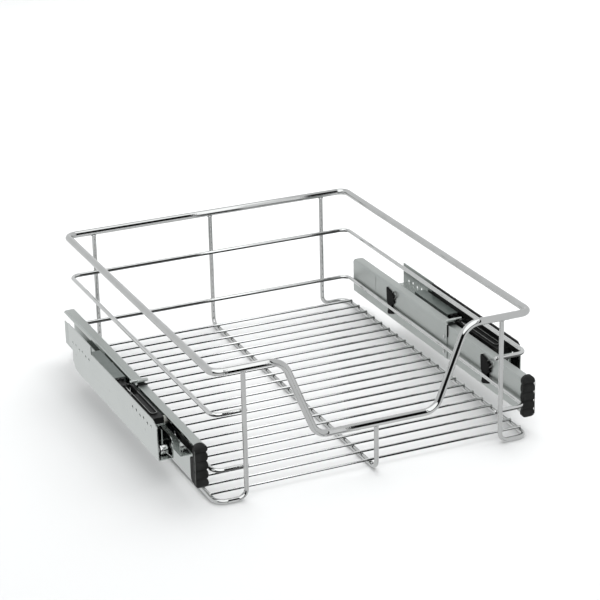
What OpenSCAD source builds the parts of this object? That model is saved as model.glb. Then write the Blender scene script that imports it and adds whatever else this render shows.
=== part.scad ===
// Pull-out wire basket for a kitchen cabinet, on a pair of side-mounted soft-close runners.
// Millimetres. The origin is on the floor under the middle of the basket:
// +X to the right, +Y to the back, +Z up. The basket stands on its bottom rails.
// Each runner is modelled on the right and mirrored for the left.

/* [Basket] */
// Width between the centres of the rim's side rods
basket_w = 390; // [340:1:560]
// Depth between the centres of the rim's front and rear rods
basket_d = 490; // [470:1:540]
// Height of the rim's centre above the bottom rails' centre
basket_h = 155; // [145:1:200]
// Thickness of the rim rod
rim_d = 8.5; // [7:0.5:10]
// Bend radius of the rim's corners
rim_corner_r = 12; // [10:1:20]
// Thickness of the bent wires that make the uprights and the bottom rails
frame_d = 5.5; // [4.5:0.5:6.5]
// Distance of the side uprights from the middle of the basket
upright_x = 159; // [140:1:165]
// Bend radius at the foot of an upright
foot_bend_r = 10; // [7:1:14]
// Bend radius of the bottom rails' corners
foot_corner_r = 13; // [9:1:16]
// Thickness of the two rings around the basket
ring_d = 5; // [4:0.5:6]
// Bend radius of the rings' corners
ring_corner_r = 11; // [8:1:16]
// Height of the middle ring above the bottom rails' centre
middle_ring_h = 102.5; // [85:0.5:120]
// Height of the lower ring above the bottom rails' centre
lower_ring_h = 35.65; // [34:0.05:45]
// How far the rings' front ends reach past the side uprights
ring_stub = 5; // [3:0.5:20]
// Thickness of the floor wires
floor_d = 3; // [2:0.5:4]
// Spacing of the floor wires
floor_pitch = 22.7; // [16:0.1:30]

/* [Front dip] */
// Width of the dip between its upper corners
dip_top_w = 228; // [200:1:260]
// Width of the dip between its lower corners
dip_bottom_w = 144.6; // [120:0.2:170]
// Height of the dip's bar above the bottom rails' centre
dip_bar_h = 57.45; // [45:0.05:80]
// Bend radius of the dip's upper corners
dip_top_r = 20; // [12:1:26]
// Bend radius of the dip's lower corners
dip_bottom_r = 15; // [10:1:20]

/* [Drawer channels] */
// Width of the channel that is clipped to the basket
channel_w = 13.4; // [12.6:0.1:15]
// Height of the channel
channel_h = 47.4; // [46:0.1:52]
// Sheet thickness of the channel
channel_t = 1; // [0.8:0.1:1.2]
// Outer radius of the channel's folds
channel_fold_r = 2.4; // [1.8:0.1:3]
// How far the channel reaches below the lower ring's centre
channel_drop = 17.9; // [16:0.1:19]
// Height of the slot's lower edge above the channel's bottom
slot_rise = 32.4; // [31.5:0.1:33]
// Height of the slot in the channel's outer side
slot_h = 10.5; // [10:0.1:11.5]
// Length of the front channel
front_channel_len = 196; // [185:1:230]
// Length over which the front channel lies inside the rear one
nest_len = 14; // [12:1:20]
// Height of the flared lip at the rear channel's front end
flare_h = 3; // [2:0.5:4]
// Length of the flared lip
flare_len = 5; // [4:0.5:6]

/* [Wire clips and end caps] */
// Distance of the front clip's middle from the channel's front end
front_clip_inset = 84; // [60:1:110]
// Distance of the rear clip's middle from the channel's rear end
rear_clip_inset = 112; // [80:1:140]
// Length of a clip along the wire
clip_len = 30; // [24:1:36]
// Height of a clip's upper horn above the wire's centre
clip_up = 24; // [18:1:26]
// Depth of a clip's lower horn below the wire's centre
clip_down = 13; // [10:1:14]
// Height of the end cap
cap_h = 53.5; // [50:0.5:58]
// Length of the end cap in front of the channel
cap_len = 7; // [5:0.5:9]
// Length of the end cap's skirt along the channel
cap_skirt = 9; // [6:0.5:12]
// Radius of the ribs across the end cap's face
cap_rib_r = 7; // [6:0.5:9]

/* [Cabinet members] */
// Length of the mounting plate
plate_len = 306; // [296:1:320]
// Sheet thickness of the mounting plate
plate_t = 1.2; // [1:0.1:1.5]
// Height of the plate's rear part
plate_rear_h = 56; // [52:0.5:60]
// Height of the plate's front part
plate_front_h = 45.5; // [42:0.5:50]
// Length of the plate's front part
plate_front_len = 222; // [200:1:230]
// Inside width of the cabinet member
member_w = 16.2; // [15.8:0.1:18]
// Height of the cabinet member's inner web
inner_web_h = 25; // [21:0.5:27]
// Outer radius of the cabinet member's folds
member_fold_r = 2; // [1.6:0.1:2.6]
// Diameter of the screw holes
screw_hole_d = 4; // [3:0.5:5]
// Spacing of the screw holes
screw_pitch = 12; // [10:0.5:14]
// Distance of the front row's middle from the plate's front end
front_row_inset = 48.5; // [44:0.5:60]
// Distance of the rear row's middle from the plate's rear end
rear_row_inset = 45; // [42:0.5:60]
// Depth of the screw holes' centre line below the front part's top edge
row_drop = 10.1; // [8:0.1:11]

/* [Intermediate members and rollers] */
// Length of the intermediate member
inter_len = 286; // [270:1:290]
// Sheet thickness of the intermediate member
inter_t = 1.4; // [1.2:0.1:1.5]
// Distance between the two slot rollers
slot_roller_spacing = 170; // [150:1:180]
// Diameter of the slot rollers
slot_roller_d = 9.9; // [8:0.1:9.9]
// Diameter of the front roller
front_roller_d = 12; // [11:0.2:12.6]
// Diameter of the rear roller
rear_roller_d = 12.4; // [11.4:0.2:13]
// Diameter of the roller pins
pin_d = 4; // [3:0.5:4.5]

/* [Soft-close unit] */
// Length of the damper housing's body
housing_len = 103; // [98:1:108]
// Height of the damper housing's body
housing_h = 7.5; // [7.2:0.1:8.5]
// Height of the U-shaped rib on the housing
rib_h = 1.6; // [0.8:0.1:2.4]
// Height of the right housing's fin above the plate's front part
fin_rise = 10.5; // [8:0.5:12]
// Thickness of the fin
fin_t = 2; // [1.5:0.1:2.4]
// Length of the damper catch
catch_len = 24; // [20:1:26]
// Travel of the damper catch
catch_travel = 30; // [24:1:32]
// Diameter of the damper cylinder
damper_d = 6; // [5:0.1:6.2]

/* [Fits] */
// Clearance between sliding or rolling parts
slide_gap = 0.3; // [0.2:0.05:0.4]
// Radial clearance of a pin in its roller
pin_gap = 0.05; // [0.02:0.01:0.1]
// Clearance between parts that are fixed to each other
fixed_gap = 0.1; // [0.05:0.05:0.15]
// Depth to which wires sink into each other at a weld
weld_sink = 0.3; // [0.1:0.05:0.5]
// Depth to which the end of an upright sinks into the rim
tip_sink = 1.2; // [0.8:0.1:1.6]

/* [Hidden] */
$fn = 64;

chrome = [0.72, 0.73, 0.74];
zinc = [0.67, 0.7, 0.68];
steel = [0.6, 0.61, 0.62];
black_plastic = [0.14, 0.15, 0.14];
dark_steel = [0.37, 0.4, 0.38];
nylon = [0.85, 0.85, 0.82];

// Basket: rim, uprights and rings
rim_x = basket_w / 2;
rim_y = basket_d / 2;
foot_z = frame_d / 2;
rim_z = foot_z + basket_h;
bar_z = foot_z + dip_bar_h;
upright_y = rim_y - (rim_d - frame_d) / 2;
upright_top = rim_z - rim_d / 2 + tip_sink;
bar_upright_top = bar_z - rim_d / 2 + tip_sink;
ring_inset = 0.6;
ring_x = rim_x - ring_inset;
ring_y = upright_y - (frame_d + ring_d) / 2 + weld_sink;
middle_ring_z = foot_z + middle_ring_h;
lower_ring_z = foot_z + lower_ring_h;
floor_z = frame_d + floor_d / 2 - weld_sink;
floor_overhang = 1;
floor_margin = 12;
floor_steps = floor((rim_y - floor_margin) / floor_pitch);

// Drawer channels, as distances outward from the middle (x), along the runner (y) and up (z)
wire_gap = 0.4;
web_x = ring_x + ring_d / 2 + wire_gap;
channel_x1 = web_x + channel_w;
channel_z0 = lower_ring_z - channel_drop;
channel_z1 = channel_z0 + channel_h;
slot_z0 = channel_z0 + slot_rise;
slot_z1 = slot_z0 + slot_h;
slot_mid_z = (slot_z0 + slot_z1) / 2;
cap_clear = 6;
cap_y = -(ring_y - ring_d / 2 - cap_clear);
channel_y0 = cap_y + cap_len;
rear_clear = 11;
channel_y1 = ring_y - ring_d / 2 - rear_clear;
front_channel_y1 = channel_y0 + front_channel_len;
rear_channel_y0 = front_channel_y1 - nest_len;
nest = channel_t + fixed_gap / 2;

// Wire clips
front_clip_y = channel_y0 + front_clip_inset;
rear_clip_y = channel_y1 - rear_clip_inset;
clip_back_t = 1.5;
clip_neck_len = clip_len * 0.6;
clip_neck_up = 6;
clip_neck_down = 5;
clip_grip = pin_gap;

// Cabinet member: its inner face clears the drawer channel, its plate is screwed to the cabinet
member_gap = 2.5;
member_x0 = channel_x1 + member_gap;
plate_x0 = member_x0 + plate_t + member_w;
plate_x1 = plate_x0 + plate_t;
plate_set_back = 66;
plate_y0 = cap_y + plate_set_back;
plate_y1 = plate_y0 + plate_len;
member_rise = 6.5;
plate_z0 = channel_z0 + member_rise;
plate_front_z = plate_z0 + plate_front_h;
plate_rear_z = plate_z0 + plate_rear_h;
plate_step_y = plate_y0 + plate_front_len;
rear_notch = 12;
rear_notch_z = plate_z0 + 28;
rear_notch_r = 3;
rear_chamfer = [24, 3];
front_chamfer = [14, 5];
row_z = plate_front_z - row_drop;
row_count = 6;
row_stagger = [0, -0.8, 0.8, -0.8, 0.8, 0];
web_corner_r = 8;
flange_top = plate_z0 + plate_t;
strap_y = plate_y0 + 24;
strap_w = 6;

// Intermediate member: a web through the drawer channel's slot, with a bead inside and a leg outside
inter_y0 = plate_y0 + 12;
inter_y1 = inter_y0 + inter_len;
inter_web_y0 = inter_y0 + 14;
inter_web_z0 = slot_mid_z - inter_t / 2;
inter_web_z1 = inter_web_z0 + inter_t;
bead_x0 = web_x + 5.7;
bead_x1 = bead_x0 + inter_t;
bead_h = 9.6;
leg_x1 = member_x0 + 9.2;
leg_x0 = leg_x1 - inter_t;
front_roller_z = flange_top + front_roller_d / 2 + slide_gap;
leg_z0 = front_roller_z + front_roller_d / 2 + slide_gap;
rear_roller_z = flange_top + rear_roller_d / 2 + slide_gap;
ear_len = 16;

// Rollers and their pins
front_slot_roller_y = inter_y0 + 26;
rear_slot_roller_y = front_slot_roller_y + slot_roller_spacing;
slot_roller_x0 = bead_x1 + slide_gap + 0.3;
slot_roller_w = channel_x1 + 1.5 - slot_roller_x0;
rear_roller_y = inter_y1 - ear_len / 2;
rear_roller_x0 = leg_x1 + slide_gap + 0.2;
rear_roller_w = 5.4;
front_roller_y = plate_y0 + 13;
front_roller_w = 9;
front_roller_x0 = plate_x0 - 5 - front_roller_w;
pin_head_d = pin_d + 2.6;
pin_head_t = 0.6;
roller_window = slot_roller_d + 2;

// Guide rail above the web, and the soft-close unit that stands on it
guide_t = plate_t;
guide_z0 = inter_web_z1 + slide_gap;
guide_z1 = guide_z0 + guide_t;
guide_x0 = member_x0 + 0.8;
guide_y0 = plate_y0 + 25;
guide_y1 = plate_y1 - 12;
guide_leg_h = 16;
rivet_d = 3;
rivet_head_d = 5.4;
rivet_head_t = 0.8;
rail_rivet_z = guide_z0 - 9;
housing_x0 = member_x0 + 0.4;
housing_x1 = plate_x0;
housing_y0 = guide_y0;
housing_y1 = housing_y0 + housing_len;
housing_z1 = guide_z1 + housing_h;
fin_z1 = plate_front_z + fin_rise;
fin_corner_r = 8;
damper_x = member_x0 + 8;
damper_z = guide_z1 + housing_h / 2;
catch_y0 = housing_y1;
catch_y1 = catch_y0 + catch_len;
catch_w = 9;
catch_z0 = guide_z1 + slide_gap;
catch_z1 = housing_z1 - slide_gap;
lane_y0 = catch_y0 - catch_travel - slide_gap;
lane_w = catch_w + 2 * slide_gap;
cylinder_y0 = housing_y0 + 6;
cylinder_y1 = lane_y0 - 0.6;
cylinder_wall = 0.6;
cylinder_end = 1.5;
rod_d = 2;
rod_end_y = catch_y0 - catch_travel - 14;
piston_len = 4;
cover_y0 = catch_y1 + slide_gap;
cover_tail = 19;
cover_y1 = plate_step_y + cover_tail;
cover_t = 1.2;
cover_x1 = plate_x0 - fin_t;
spring_d = 4.4;
spring_wire_d = 0.7;
spring_post_y = cover_y1 - 37;
spring_post_t = 2;

function unit(v) = v / norm(v);

// Turn of a wire at point i of its path, and how far the straight runs stop short of that point
function turn(path, i) =
  let (n = len(path))
  acos(unit(path[i] - path[(i + n - 1) % n]) * unit(path[(i + 1) % n] - path[i]));
function set_back(path, bends, i) = bends[i] == 0 ? 0 : bends[i] * tan(turn(path, i) / 2);

// A straight length of wire
module straight(a, b, d) {
  run = b - a;
  heading = atan2(run.y, run.x);
  tilt = acos(run.z / norm(run));
  translate(a)
    rotate([0, tilt, heading])
      cylinder(h = norm(run), d = d);
}

// A bend of radius r at the origin, from the direction along to the direction next
module bend(along, next, r, d) {
  angle = acos(along * next);
  inward = unit(next - (next * along) * along);
  centre = -r * tan(angle / 2) * along + r * inward;
  axis = cross(-inward, along);
  multmatrix([
    [-inward.x, along.x, axis.x, centre.x],
    [-inward.y, along.y, axis.y, centre.y],
    [-inward.z, along.z, axis.z, centre.z],
    [0, 0, 0, 1]
  ])
    rotate_extrude(angle = angle)
      translate([r, 0])
        circle(d = d);
}

// An open wire along a path, bent to the radius given for each inner point
module wire(path, bends, d) {
  last = len(path) - 1;
  for (i = [0 : last - 1]) {
    along = unit(path[i + 1] - path[i]);
    straight(
      path[i] + set_back(path, bends, i) * along,
      path[i + 1] - set_back(path, bends, i + 1) * along,
      d
    );
  }
  for (i = [1 : last - 1])
    translate(path[i])
      bend(unit(path[i] - path[i - 1]), unit(path[i + 1] - path[i]), bends[i], d);
}

// Middle and direction of each ring of a closed rod's surface, at the given number of steps a bend
function stations(path, bends, steps) = [
  for (i = [0 : len(path) - 1])
    let (
      n = len(path),
      along = unit(path[i] - path[(i + n - 1) % n]),
      next = unit(path[(i + 1) % n] - path[i]),
      angle = acos(along * next),
      inward = unit(next - (next * along) * along),
      centre = path[i] - bends[i] * tan(angle / 2) * along + bends[i] * inward
    )
    for (k = [0 : steps])
      let (a = angle * k / steps)
      [centre + bends[i] * (sin(a) * along - cos(a) * inward), cos(a) * along + sin(a) * inward]
];

// A closed rod along a path that never runs straight up or down
module closed_rod(path, bends, d, sides = 20, steps = 6) {
  rings = stations(path, bends, steps);
  count = len(rings);
  points = [
    for (ring = rings)
      let (
        across_rod = unit(cross(ring[1], [0, 0, 1])),
        up_rod = cross(ring[1], across_rod)
      )
      for (k = [0 : sides - 1])
        let (a = 360 * k / sides)
        ring[0] + d / 2 * (cos(a) * across_rod + sin(a) * up_rod)
  ];
  faces = [
    for (i = [0 : count - 1])
      for (k = [0 : sides - 1])
        let (
          next_ring = ((i + 1) % count) * sides,
          next_k = (k + 1) % sides
        )
        [i * sides + k, next_ring + k, next_ring + next_k, i * sides + next_k]
  ];
  polyhedron(points, faces);
}

// Extrudes a section drawn in X and Z from y0 to y1
module along_y(y0, y1) {
  translate([0, y1, 0])
    rotate([90, 0, 0])
      linear_extrude(y1 - y0)
        children();
}

// Extrudes an outline drawn in Y and Z from x0 to x1
module along_x(x0, x1) {
  translate([x0, 0, 0])
    rotate([90, 0, 90])
      linear_extrude(x1 - x0)
        children();
}

// A round bar or hole across the runner, from x0 to x1
module across(x0, x1, y, z, d) {
  translate([x0, y, z])
    rotate([0, 90, 0])
      cylinder(h = x1 - x0, d = d);
}

// A round bar or hole along the runner, from y0 to y1
module lengthwise(y0, y1, x, z, d) {
  translate([x, y1, z])
    rotate([90, 0, 0])
      cylinder(h = y1 - y0, d = d);
}

// A block given by its two opposite corners
module block(low, high) {
  translate(low)
    cube(high - low);
}

// A rectangle with round corners, from low to high
module round_box(low, high, r) {
  translate([low.x + r, low.y])
    square([high.x - low.x - 2 * r, high.y - low.y]);
  translate([low.x, low.y + r])
    square([high.x - low.x, high.y - low.y - 2 * r]);
  for (x = [low.x + r, high.x - r], z = [low.y + r, high.y - r])
    translate([x, z])
      circle(r);
}

// A closed sheet section of thickness t
module sheet_box(low, high, r, t) {
  difference() {
    round_box(low, high, r);
    round_box(low + [t, t], high - [t, t], r - t);
  }
}

module left() {
  mirror([1, 0, 0])
    children();
}

// ---- Basket ----

module rim() {
  path = [
    [-rim_x, rim_y, rim_z],
    [rim_x, rim_y, rim_z],
    [rim_x, -rim_y, rim_z],
    [dip_top_w / 2, -rim_y, rim_z],
    [dip_bottom_w / 2, -rim_y, bar_z],
    [-dip_bottom_w / 2, -rim_y, bar_z],
    [-dip_top_w / 2, -rim_y, rim_z],
    [-rim_x, -rim_y, rim_z]
  ];
  c = rim_corner_r;
  color(chrome)
    closed_rod(path, [c, c, c, dip_top_r, dip_bottom_r, dip_bottom_r, dip_top_r, c], rim_d);
}

// A ring around the back and the sides, with its front ends turned in as far as the side uprights
module ring(z) {
  end_x = upright_x - ring_stub;
  path = [
    [-end_x, -ring_y, z],
    [-ring_x, -ring_y, z],
    [-ring_x, ring_y, z],
    [ring_x, ring_y, z],
    [ring_x, -ring_y, z],
    [end_x, -ring_y, z]
  ];
  r = ring_corner_r;
  color(chrome)
    wire(path, [0, r, r, r, r, 0], ring_d);
}

module middle_ring() {
  ring(middle_ring_z);
}

module lower_ring() {
  ring(lower_ring_z);
}

// One bent wire: front upright, foot, bottom rail along the side, foot, rear upright
module side_frame() {
  path = [
    [upright_x, -upright_y, upright_top],
    [upright_x, -upright_y, foot_z],
    [rim_x, -upright_y, foot_z],
    [rim_x, upright_y, foot_z],
    [upright_x, upright_y, foot_z],
    [upright_x, upright_y, upright_top]
  ];
  color(chrome)
    wire(path, [0, foot_bend_r, foot_corner_r, foot_corner_r, foot_bend_r, 0], frame_d);
}

// One bent wire under the middle, from the dip's bar to the rim's rear rod
module centre_frame() {
  path = [
    [0, -upright_y, bar_upright_top],
    [0, -upright_y, foot_z],
    [0, upright_y, foot_z],
    [0, upright_y, upright_top]
  ];
  color(chrome)
    wire(path, [0, foot_bend_r, foot_bend_r, 0], frame_d);
}

module floor_wires() {
  half = rim_x + floor_overhang;
  color(chrome)
    for (i = [-floor_steps : floor_steps])
      across(-half, half, i * floor_pitch, floor_z, floor_d);
}

// ---- Drawer channels, fixed to the basket ----

// The channel's section with its slot, drawn in by the given amount all round
module channel_section(inset) {
  low = [web_x + inset, channel_z0 + inset];
  high = [channel_x1 - inset, channel_z1 - inset];
  difference() {
    sheet_box(low, high, channel_fold_r - inset, channel_t);
    translate([high.x - channel_t - 0.5, slot_z0])
      square([channel_t + 1, slot_h]);
  }
}

// Windows in the web for the clips' necks
module clip_windows() {
  for (y = [front_clip_y, rear_clip_y])
    block(
      [web_x - 1, y - clip_neck_len / 2 - fixed_gap, lower_ring_z - clip_neck_down - fixed_gap],
      [web_x + 4, y + clip_neck_len / 2 + fixed_gap, lower_ring_z + clip_neck_up + fixed_gap]
    );
}

function joint_rivets() = [
  [front_channel_y1 - nest_len / 2, channel_z0 + 9],
  [front_channel_y1 - nest_len / 2, channel_z0 + slot_rise - 3.4]
];

module joint_rivet_holes() {
  for (p = joint_rivets())
    across(web_x - 1, web_x + 4, p.x, p.y, rivet_d + fixed_gap);
}

module channel_rear() {
  rear_corner = 4;
  color(zinc)
    difference() {
      union() {
        along_y(rear_channel_y0, channel_y1) channel_section(0);
        along_x(web_x + channel_fold_r, channel_x1 - channel_fold_r)
          polygon([
            [rear_channel_y0 + flare_len, channel_z1 - channel_t],
            [rear_channel_y0 + flare_len, channel_z1],
            [rear_channel_y0, channel_z1 + flare_h],
            [rear_channel_y0, channel_z1 + flare_h - channel_t]
          ]);
      }
      // The flat flange stops where the flared lip starts
      along_x(web_x + channel_fold_r, channel_x1 - channel_fold_r)
        polygon([
          [rear_channel_y0 - 1, channel_z1 - channel_t],
          [rear_channel_y0 + flare_len, channel_z1 - channel_t],
          [rear_channel_y0, channel_z1 + flare_h - channel_t],
          [rear_channel_y0 - 1, channel_z1 + flare_h - channel_t]
        ]);
      // Chamfered upper corner at the rear end
      along_x(web_x - 1, channel_x1 + 1)
        polygon([
          [channel_y1 - rear_corner, channel_z1 + 1],
          [channel_y1 + 1, channel_z1 + 1],
          [channel_y1 + 1, channel_z1 - rear_corner],
          [channel_y1, channel_z1 - rear_corner],
          [channel_y1 - rear_corner, channel_z1]
        ]);
      clip_windows();
      joint_rivet_holes();
    }
}

module channel_front() {
  color(zinc)
    difference() {
      along_y(channel_y0, front_channel_y1) channel_section(nest);
      clip_windows();
      joint_rivet_holes();
    }
}

// Rivets through the web where the two channels lie in each other
module channel_rivets() {
  inner_face = web_x + nest + channel_t;
  color(steel)
    for (p = joint_rivets()) {
      across(web_x - rivet_head_t, web_x, p.x, p.y, rivet_head_d);
      across(web_x, inner_face, p.x, p.y, rivet_d);
      across(inner_face, inner_face + rivet_head_t, p.x, p.y, rivet_head_d);
    }
}

// A black clip: horns above and below the wire, a neck through the web and a plate behind it
module wire_clip(y, web_face, back_face) {
  y0 = y - clip_len / 2;
  y1 = y + clip_len / 2;
  z = lower_ring_z;
  lower_len = clip_len * 0.55;
  difference() {
    union() {
      along_x(ring_x, web_face)
        polygon([
          [y1, z],
          [y1, z + clip_up],
          [y1 - 3, z + clip_up],
          [y0 + 6, z + 6],
          [y0, z]
        ]);
      along_x(ring_x, web_face)
        polygon([[y1, z], [y1 - lower_len, z], [y1 - lower_len * 0.35, z - clip_down], [y1, z - clip_down]]);
      block(
        [web_face, y - clip_neck_len / 2, z - clip_neck_down],
        [back_face, y + clip_neck_len / 2, z + clip_neck_up]
      );
      block([back_face, y0, z - clip_down], [back_face + clip_back_t, y1, z + clip_up / 2]);
    }
    lengthwise(y0 - 1, y1 + 1, ring_x, z, ring_d + 2 * clip_grip);
  }
}

module wire_clips() {
  color(black_plastic) {
    wire_clip(front_clip_y, web_x + nest, web_x + nest + channel_t);
    wire_clip(rear_clip_y, web_x, web_x + channel_t);
  }
}

// Black end cap with five ribs across its face
module end_cap() {
  cap_ribs = 5;
  rib_pitch = cap_h / cap_ribs;
  cap_x1 = channel_x1 + 2.2;
  cap_z0 = channel_z0 - 4.4;
  cap_z1 = cap_z0 + cap_h;
  bottom_inset = nest + channel_t + fixed_gap;
  plug_y1 = channel_y0 + cap_skirt;
  chamfer = 3;
  color(black_plastic)
    difference() {
      union() {
        block([web_x, cap_y + 3.5, cap_z0 + 2], [cap_x1, channel_y0, cap_z1 - 1]);
        intersection() {
          for (i = [0 : cap_ribs - 1])
            across(web_x, cap_x1, cap_y + cap_rib_r, cap_z0 + (i + 0.5) * rib_pitch, 2 * cap_rib_r);
          block([web_x, cap_y - 1, cap_z0], [cap_x1, channel_y0, cap_z1]);
        }
        // Skirt on the outer side, and the plug inside the channel
        block([channel_x1 - nest, channel_y0, channel_z0 + 4], [cap_x1, plug_y1, slot_z0 - 1]);
        block(
          [web_x + bottom_inset, channel_y0, channel_z0 + bottom_inset],
          [channel_x1 - bottom_inset, plug_y1, channel_z1 - bottom_inset]
        );
      }
      // Chamfer along the top outer edge
      along_y(cap_y - 1, channel_y0 + 1)
        polygon([
          [cap_x1 - chamfer, cap_z1 + 1],
          [cap_x1 + 1, cap_z1 + 1],
          [cap_x1 + 1, cap_z1 - chamfer],
          [cap_x1, cap_z1 - chamfer],
          [cap_x1 - chamfer, cap_z1]
        ]);
    }
}

// ---- Intermediate members ----

module intermediate_rail() {
  ear_z0 = rear_roller_z - pin_d / 2 - 3;
  bead_z0 = slot_mid_z - bead_h / 2;
  color(zinc)
    difference() {
      union() {
        block([bead_x0, inter_web_y0, bead_z0], [bead_x1, inter_y1, bead_z0 + bead_h]);
        block([bead_x0, inter_web_y0, inter_web_z0], [leg_x1, inter_y1, inter_web_z1]);
        block([leg_x0, inter_y0, leg_z0], [leg_x1, inter_y1, inter_web_z1]);
        block([leg_x0, inter_y1 - ear_len, ear_z0], [leg_x1, inter_y1, inter_web_z1]);
      }
      for (y = [front_slot_roller_y, rear_slot_roller_y])
        block(
          [bead_x1, y - roller_window / 2, inter_web_z0 - 1],
          [slot_roller_x0 + slot_roller_w + 2, y + roller_window / 2, inter_web_z1 + 1]
        );
    }
}

// A pin that stands outward from x0, with a head that keeps its roller on
module roller_pin(x0, roller_x1, y, z) {
  head_x0 = roller_x1 + 0.1;
  across(x0, head_x0, y, z, pin_d);
  across(head_x0, head_x0 + pin_head_t, y, z, pin_head_d);
}

module roller(x0, w, y, z, d) {
  difference() {
    across(x0, x0 + w, y, z, d);
    across(x0 - 1, x0 + w + 1, y, z, pin_d + 2 * pin_gap);
  }
}

module roller_pins() {
  color(steel) {
    for (y = [front_slot_roller_y, rear_slot_roller_y])
      roller_pin(bead_x1, slot_roller_x0 + slot_roller_w, y, slot_mid_z);
    roller_pin(leg_x1, rear_roller_x0 + rear_roller_w, rear_roller_y, rear_roller_z);
  }
}

module slot_roller(y) {
  color(nylon)
    roller(slot_roller_x0, slot_roller_w, y, slot_mid_z, slot_roller_d);
}

module rear_roller() {
  color(nylon)
    roller(rear_roller_x0, rear_roller_w, rear_roller_y, rear_roller_z, rear_roller_d);
}

// ---- Cabinet members ----

function plate_outline() = [
  [plate_y0, plate_z0],
  [plate_y0, plate_front_z - front_chamfer.y],
  [plate_y0 + front_chamfer.x, plate_front_z],
  [plate_step_y, plate_front_z],
  [plate_step_y, plate_rear_z],
  [plate_y1, plate_rear_z],
  [plate_y1, rear_notch_z],
  [plate_y1 - rear_notch + rear_notch_r, rear_notch_z],
  [plate_y1 - rear_notch, rear_notch_z - rear_notch_r],
  [plate_y1 - rear_notch, plate_z0 + rear_chamfer.y + 8],
  [plate_y1 - rear_notch - 8, plate_z0 + rear_chamfer.y],
  [plate_y1 - rear_notch - rear_chamfer.x, plate_z0]
];

// The sheet's U section: plate, bottom flange and inner web in one fold
module member_section() {
  sheet_box([member_x0, plate_z0], [plate_x1, plate_rear_z + 10], member_fold_r, plate_t);
}

module mounting_plate() {
  flange_mid_x = (member_x0 + plate_x1) / 2;
  flange_y1 = plate_y1 - rear_notch - rear_chamfer.x;
  web_z1 = plate_z0 + inner_web_h;
  color(zinc)
    difference() {
      union() {
        intersection() {
          along_y(plate_y0, plate_y1) member_section();
          along_x(flange_mid_x, plate_x1 + 1) polygon(plate_outline());
        }
        intersection() {
          along_y(plate_y0, flange_y1) member_section();
          along_x(member_x0 - 1, flange_mid_x) {
            translate([plate_y0, plate_z0])
              square([flange_y1 - plate_y0, inner_web_h - web_corner_r]);
            translate([plate_y0 + web_corner_r, plate_z0])
              square([flange_y1 - plate_y0 - web_corner_r, inner_web_h]);
            translate([plate_y0 + web_corner_r, web_z1 - web_corner_r])
              circle(web_corner_r);
          }
        }
        // Strap across the member behind the front roller
        block(
          [member_x0 + plate_t, strap_y, leg_z0 - slide_gap - plate_t],
          [plate_x0, strap_y + strap_w, leg_z0 - slide_gap]
        );
      }
      for (i = [0 : row_count - 1]) {
        offset_y = (i - (row_count - 1) / 2) * screw_pitch;
        z = row_z + row_stagger[i];
        across(plate_x0 - 1, plate_x1 + 1, plate_y0 + front_row_inset + offset_y, z, screw_hole_d);
        across(plate_x0 - 1, plate_x1 + 1, plate_y1 - rear_row_inset + offset_y, z, screw_hole_d);
      }
      for (y = rail_rivet_ys())
        across(plate_x0 - 1, plate_x1 + 1, y, rail_rivet_z, rivet_d + fixed_gap);
    }
}

function rail_rivet_ys() = [guide_y0 + 14, (guide_y0 + guide_y1) / 2, guide_y1 - 14];

// Angle on the plate: it holds the intermediate member down and carries the soft-close unit
module guide_rail() {
  color(zinc)
    difference() {
      union() {
        block([guide_x0, guide_y0, guide_z0], [plate_x0, guide_y1, guide_z1]);
        block([plate_x0 - guide_t, guide_y0, guide_z1 - guide_leg_h], [plate_x0, guide_y1, guide_z1]);
      }
      for (y = rail_rivet_ys())
        across(plate_x0 - guide_t - 1, plate_x0 + 1, y, rail_rivet_z, rivet_d + fixed_gap);
    }
}

// Rivets that end flush with the plate's outer face
module rail_rivets() {
  head_x = plate_x0 - guide_t;
  color(steel)
    for (y = rail_rivet_ys()) {
      across(head_x - rivet_head_t, head_x, y, rail_rivet_z, rivet_head_d);
      across(head_x, plate_x1, y, rail_rivet_z, rivet_d);
    }
}

module front_roller() {
  color(chrome)
    roller(front_roller_x0, front_roller_w, front_roller_y, front_roller_z, front_roller_d);
}

// Stepped axle from the plate, with a collar that spaces the roller and a head
module front_axle() {
  collar_x0 = front_roller_x0 + front_roller_w + slide_gap;
  head_x1 = front_roller_x0 - 0.1;
  color(steel) {
    across(head_x1 - pin_head_t, head_x1, front_roller_y, front_roller_z, pin_head_d);
    across(head_x1, collar_x0, front_roller_y, front_roller_z, pin_d);
    across(collar_x0, plate_x0, front_roller_y, front_roller_z, pin_head_d);
  }
}

// ---- Soft-close units ----

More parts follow.
